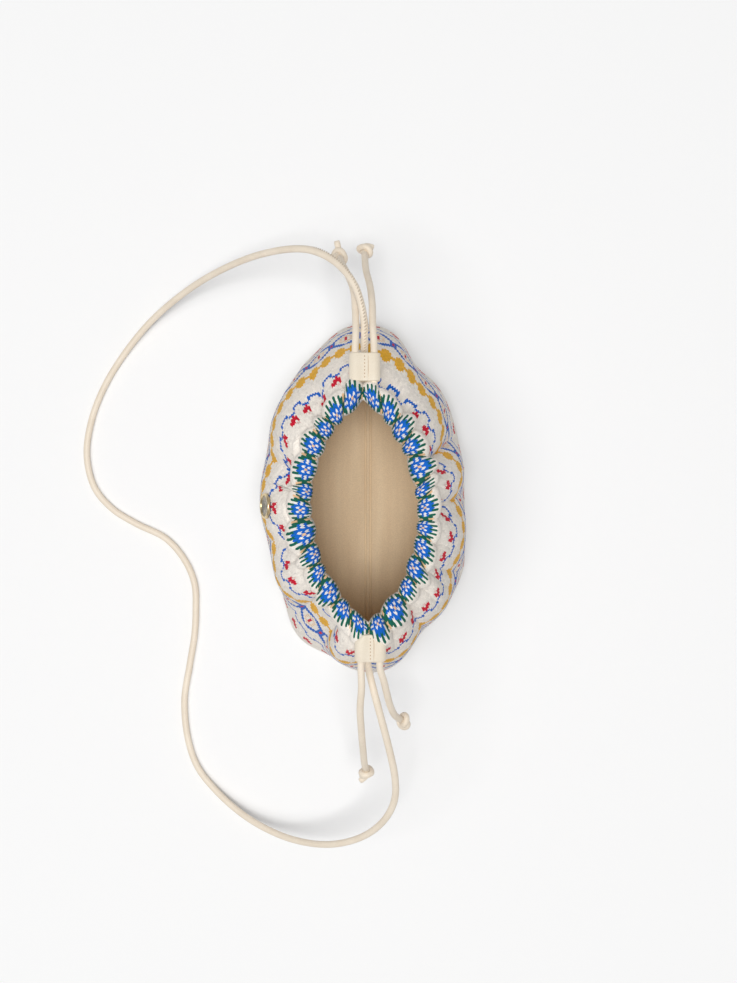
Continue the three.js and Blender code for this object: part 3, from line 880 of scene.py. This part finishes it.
def ring(section, gather):
    """Points of one section's ring, spread evenly along its folded cloth between the tips."""
    gather = np.asarray(gather, float) % GATHERS
    points = np.empty((len(gather), 3))
    for side in (0, 1):
        mine = (gather // SIDE_GATHERS) == side
        turns = math.pi * (side + np.linspace(0, 1, RING_STEPS + 1))
        line = oval(section, turns)
        along = lengths_along(line)
        place = SIDE_GATHERS * (side + along / along[-1])
        tangent = unit(np.gradient(line, axis=0))
        normal = np.stack([tangent[:, 1], -tangent[:, 0]], axis=1)
        fold = section["fold"] * fold_depth(place, section["tuck"]) + section["dent"] * dent_depth(place)
        folded = line + fold[:, None] * normal
        cloth = lengths_along(folded)
        at = SIDE_GATHERS * (side + cloth / cloth[-1])
        place, wave = gather_wave(at, section["rise"])
        push = section["gather"] * wave
        swell = section["lift"] * tip_swell(at) * max(math.cos(section["rise"]), 0)
        folded += (push * math.cos(section["rise"]) + swell)[:, None] * normal
        height = section["z"] + push * math.sin(section["rise"]) + section["lift"] * tip_lift(at)
        path = lengths_along(np.column_stack([folded, height]))
        creases = np.arange(side * SIDE_GATHERS, (side + 1) * SIDE_GATHERS + 1)
        stitches = np.interp(path, np.interp(creases, place, path), creases)
        share = GATHER_STRETCH * min(section["gather"] / FULL_GATHER, 1)
        at = at + share * (stitches - at)
        for axis, values in enumerate((*folded.T, height)):
            points[mine, axis] = np.interp(gather[mine], at, values)
    return points


def profile_table():
    """Sections close together from the edge of the base to the inner end of the hem, with their lengths."""
    body = np.array(BODY_SECTIONS, float)
    along = lengths_along(body[:, [1, 0]])
    rows = cubic_columns(along, body, np.linspace(0, along[-1], BODY_STEPS))
    lift = np.clip((rows[:, 0] - TIP_LIFT_FROM) / (HEM["z"] - TIP_LIFT_FROM), 0, 1)
    rows = np.column_stack([rows, np.zeros(len(rows)), lift])
    part = np.linspace(0, 1, HEM_STEPS)
    angle = np.radians(HEM_START + (HEM_END - HEM_START) * part)
    hem = np.column_stack([
        HEM["z"] + HEM_RADIUS * np.sin(angle),
        HEM["half_x"] + HEM_RADIUS * np.cos(angle),
        HEM["half_y"] + HEM_RADIUS * np.cos(angle),
        *[np.full(len(part), HEM[key]) for key in ("mid_y", "lens", "lean", "dent", "fold", "tuck")],
        np.interp(np.degrees(angle), *np.array(HEM_GATHERS).T),
        angle,
        np.ones(len(part)),
    ])
    table = np.vstack([rows, hem])
    lengths = lengths_along(table[:, [1, 0]])
    return table, lengths, lengths[len(rows)]


PROFILE, PROFILE_LENGTHS, NECK_LENGTH = profile_table()
ROW_LENGTHS = np.concatenate([
    np.linspace(0, NECK_LENGTH, BODY_ROWS + 1),
    np.linspace(NECK_LENGTH, PROFILE_LENGTHS[-1], HEM_ROWS + 1)[1:],
])


def section_at(row):
    """The pouch's section at a row, which may lie between two rows."""
    length = np.interp(row, np.arange(ROWS + 1), ROW_LENGTHS)
    values = [np.interp(length, PROFILE_LENGTHS, column) for column in PROFILE.T]
    return dict(zip((*SECTION_COLUMNS, "rise", "lift"), values))


def surface_normals(points, across, along, closed):
    """Normals of a grid of points, over some columns and rows to each side."""
    column = np.arange(points.shape[1])
    ahead, behind = column + across, column - across
    if closed:
        ahead, behind = ahead % len(column), behind % len(column)
    else:
        ahead, behind = np.minimum(ahead, column[-1]), np.maximum(behind, 0)
    row = np.arange(len(points))
    up = points[np.minimum(row + along, row[-1])] - points[np.maximum(row - along, 0)]
    return unit(np.cross(points[:, ahead] - points[:, behind], up))


# Drawstrings

def make_drawstring(side):
    """A drawstring, from one slider through the hem to the other."""
    in_slider = (SLIDER_LENGTH, SLIDER_LENGTH / 2, 0, -SLIDER_LEAD)
    back, front = ([in_bore(end, side, along) for along in in_slider] for end in SLIDERS)
    gather = np.linspace(CASING_FROM, SIDE_GATHERS - CASING_FROM, CASING_POINTS)
    gather = gather if side == "left" else GATHERS - gather
    casing = ring({**HEM, "gather": 0, "rise": 0, "lift": 0}, gather)
    line = cord_line([*back, *casing, *front[::-1]])
    points, faces = tube(line, np.full(len(line), CORD_RADIUS), CORD_SIDES)
    cord = mesh_piece(f"drawstring_cord_{side}", points, faces, CORD_LEATHER)
    put(cord, "leather_cord", f"drawstring_{side}")


# Knit

def stitched(place, wales, rows, closed):
    """Points of a knit: each stitch of the grid is a V of two raised legs."""
    column = np.arange(wales * COLUMNS_PER_WALE + (0 if closed else 1))
    phase = column % COLUMNS_PER_WALE
    rise = STITCH_SLANT * np.abs(2 * phase / COLUMNS_PER_WALE - 1)
    steps = np.arange(rows * STEPS_PER_ROW + 1)
    points = np.empty((len(steps), len(column), 3))
    for shift in np.unique(rise):
        chosen = rise == shift
        for step in steps:
            row = min(step / STEPS_PER_ROW + shift, rows)
            points[step, chosen] = place(row, column[chosen] / COLUMNS_PER_WALE)
    relief = np.array(ROW_RELIEF)[steps % STEPS_PER_ROW][:, None] * np.array(LEG_RELIEF)[phase]
    normals = surface_normals(points, COLUMNS_PER_WALE, STEPS_PER_ROW, closed)
    return points + STITCH_RELIEF * relief[..., None] * normals


def wall_place(row, wale):
    """Points of the wall's surface, where each gather of the hem rolls a little more or less over."""
    gather = wale * GATHERS / WALES
    points = ring(section_at(row), gather)
    share = min(row - BODY_ROWS + HEM_ROLL_FROM, ROWS - row, HEM_ROLL_FROM) / HEM_ROLL_FROM
    if share <= 0:
        return points
    rolls = np.random.default_rng(SEED).uniform(-HEM_ROLL, HEM_ROLL, GATHERS)
    roll = np.interp(gather, np.arange(GATHERS) + 0.5, rolls, period=GATHERS)
    ahead = ring(section_at(row + 1), gather) - points
    return points + (share * roll)[:, None] * ahead


def base_place(row, wale):
    """Points of the base, as far off the floor as its stitches stand out underneath."""
    _, half_x, half_y = BODY_SECTIONS[0][:3]
    points = oval_row(half_x, half_y, 2 * row / BASE_ROWS - 1, 1 - 2 * wale / BASE_WALES)
    points[:, 2] = STITCH_RELIEF
    return points


def yarn_chart():
    """The yarn of every stitch, row by row from the base."""
    chart = np.full((ROWS, WALES), ".")
    for top, band in BANDS:
        for below, line in enumerate(band):
            row = BODY_ROWS + top - below
            chart[row] = np.resize(list(line), WALES)
    return chart


def knit_piece(name, points, colours, closed):
    """A piece of knit from a grid of its points, with the colour of each of its stitches."""
    faces = grid_quads(*points.shape[:2], closed)
    piece = mesh_piece(name, points.reshape(-1, 3), faces, KNIT)
    columns = points.shape[1] - (0 if closed else 1)
    step, column = np.divmod(np.arange(len(faces)), columns)
    colour = colours[step // STEPS_PER_ROW, column // COLUMNS_PER_WALE]
    rgba = np.column_stack([colour, np.ones(len(colour))])
    yarn = piece.data.color_attributes.new("yarn", "FLOAT_COLOR", "CORNER")
    yarn.data.foreach_set("color", np.repeat(rgba, 4, axis=0).astype(np.float32).ravel())
    corner = np.array([(0, 0), (1, 0), (1, 1), (0, 1)])
    place = np.stack([column, step], axis=1)[:, None, :] + corner
    flat = place / (columns, len(points) - 1)
    piece.data.uv_layers.new(name=BAKE_MAP).data.foreach_set("uv", flat.astype(np.float32).ravel())
    return put(piece, "knit", "knit_pouch")


def yarn_colours(chart, random):
    """Colours of the stitches of a chart, each a little lighter or darker than its yarn."""
    shade = 1 + YARN_SPREAD * random.standard_normal((*chart.shape, 1))
    return np.array([[YARNS[stitch] for stitch in row] for row in chart]) * shade


def make_knit():
    """The wall of the pouch in bands, and its base."""
    random = np.random.default_rng(SEED)
    surface = stitched(wall_place, WALES, ROWS, True)
    surface[..., 2] = np.maximum(surface[..., 2], 0)
    colours = yarn_colours(yarn_chart(), random)
    starts = [*KNIT_BANDS.values(), ROWS]
    for name, first, last in zip(KNIT_BANDS, starts, starts[1:]):
        points = surface[first * STEPS_PER_ROW:last * STEPS_PER_ROW + 1]
        piece = knit_piece(name, points, colours[first:last], True)
    base = stitched(base_place, BASE_WALES, BASE_ROWS, False)
    plain = np.full((BASE_ROWS, BASE_WALES), ".")
    piece = knit_piece("knit_base", base, yarn_colours(plain, random), False)


# Lining

def lining_section(row):
    """The lining's section at a row, inside the knit."""
    section = section_at(row)
    section["half_x"] -= LINING_INSET
    section["half_y"] -= LINING_INSET
    section["z"] += LINING_INSET * max(0, 1 - section["z"] / BASE_TURN)
    return section


def make_lining_wall():
    """Slack cloth from the edge of the floor up to the inner end of the hem."""
    gather = np.arange(LINING_COLUMNS) * GATHERS / LINING_COLUMNS
    wall = np.array([ring(lining_section(row), gather) for row in np.linspace(0, BODY_ROWS, LINING_RINGS)])
    top = ring(section_at(ROWS), gather)
    wall = np.concatenate([wall, top[None]])
    round_way = 2 * math.pi * gather / GATHERS
    up_way = np.linspace(0, 1, len(wall))[:, None]
    bulge = np.sin(math.pi * up_way)
    waves = sum(share * np.sin(around * round_way + up * up_way + start)
                for around, up, start, share in LINING_WAVES)
    slack = LINING_SLACK * waves * bulge + LINING_SLACK
    wall -= slack[..., None] * bulge[..., None] * surface_normals(wall, 2, 1, True)
    faces = grid_quads(len(wall), LINING_COLUMNS, True)[:, ::-1]
    piece = put(mesh_piece("lining_wall", wall.reshape(-1, 3), faces, LINING), "lining", "lining")


def make_lining_floor():
    """An oval of cloth with a seam along its middle, which shows as two fine grooves."""
    edge = lining_section(0)
    across, along = (np.linspace(-1, 1, count) for count in LINING_FLOOR_GRID)
    floor = np.array([oval_row(edge["half_x"], edge["half_y"], place, across) for place in along])
    seam = sum(np.exp(-((floor[..., 0] - place) / LINING_SEAM_WIDTH) ** 2)
               for place in (LINING_SEAM_X, LINING_SEAM_X - LINING_SEAM_GAP))
    floor[..., 2] = edge["z"] - LINING_SEAM_DEPTH * seam
    faces = grid_quads(*floor.shape[:2], False)
    piece = put(mesh_piece("lining_floor", floor.reshape(-1, 3), faces, LINING), "lining", "lining")


# Medallion

def lathe(profile, middle, axis):
    """Points and faces of a profile of radii and heights that is turned round an axis."""
    aside = unit(np.cross(axis, (0, 0, 1)))
    above = np.cross(aside, axis)
    angle = np.linspace(0, 2 * math.pi, MEDALLION_SIDES, endpoint=False)
    outward = np.cos(angle)[:, None] * aside + np.sin(angle)[:, None] * above
    points = [middle + radius * outward + height * axis for radius, height in profile]
    last = (len(profile) - 1) * MEDALLION_SIDES
    faces = [*grid_quads(len(profile), MEDALLION_SIDES, True), range(last, last + MEDALLION_SIDES)]
    return np.vstack(points), faces


def make_medallion():
    """A rim and a dish, set on the back face of the CAD medallion."""
    node = np.array([vertex.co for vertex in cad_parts["medallion"].data.vertices]) / MM
    axis = np.linalg.svd(node - node.mean(axis=0))[2][2]
    axis *= -np.sign(axis[0])
    heights = node @ axis
    middle = node[heights < heights.min() + BACK_FACE_DEPTH].mean(axis=0)
    bead = MEDALLION_RIM / 2
    shoulder = MEDALLION_HEIGHT - bead
    turn = np.linspace(0, math.pi, RIM_STEPS)
    rim = [(MEDALLION_HUB, 0), (MEDALLION_RADIUS, 0),
           *zip(MEDALLION_RADIUS - bead + bead * np.cos(turn), shoulder + bead * np.sin(turn)),
           (MEDALLION_RADIUS - MEDALLION_RIM, MEDALLION_DISH / 2)]
    put(mesh_piece("medallion_rim", *lathe(rim, middle, axis), GOLD), "metal", "medallion")
    radii = np.linspace(MEDALLION_RADIUS - DISH_EDGE * MEDALLION_RIM, DISH_HUB, DISH_STEPS)
    rings = MEDALLION_RING_DEPTH * np.cos(2 * math.pi * radii / MEDALLION_RING_PITCH)
    dish = MEDALLION_DISH * (DISH_LEVEL + DISH_CURVE * (radii / MEDALLION_RADIUS) ** 2) + rings
    put(mesh_piece("medallion_dish", *lathe(list(zip(radii, dish)), middle, axis), SILVER),
        "metal", "medallion")


# Stage

def make_floor():
    floor = bpy.data.meshes.new("floor")
    corners = [(x, y, 0) for x, y in ((-1, -1), (1, -1), (1, 1), (-1, 1))]
    floor.from_pydata((FLOOR_HALF * np.array(corners)).tolist(), [], [(0, 1, 2, 3)])
    material, _, shader = new_material("floor", roughness=0.9, specular=0.1)
    shader.inputs["Base Color"].default_value = (*FLOOR_COLOUR, 1)
    floor.materials.append(material)
    piece = bpy.data.objects.new("floor", floor)
    bpy.context.scene.collection.objects.link(piece)


def make_light():
    """An even white sky and two round lamps that point at the pouch's base."""
    world = bpy.data.worlds.new("studio")
    world.use_nodes = True
    background = world.node_tree.nodes["Background"]
    background.inputs["Color"].default_value = (1, 1, 1, 1)
    background.inputs["Strength"].default_value = SKY
    bpy.context.scene.world = world
    for name, spec in LAMPS.items():
        data = bpy.data.lights.new(name, "AREA")
        data.shape = "DISK"
        data.size = spec["size"]
        data.energy = spec["power"]
        lamp = bpy.data.objects.new(name, data)
        lamp.location = spec["place"]
        lamp.rotation_euler = (-Vector(spec["place"])).to_track_quat("-Z", "Y").to_euler()
        bpy.context.scene.collection.objects.link(lamp)
    bpy.context.scene.view_settings.view_transform = "Standard"


make_camera()
make_cords()
for slider_end in SLIDERS:
    make_slider(slider_end)
    make_slider_stitches(slider_end)
for cord_side in ("left", "right"):
    make_drawstring(cord_side)
make_knit()
make_lining_wall()
make_lining_floor()
make_medallion()
make_floor()
make_light()
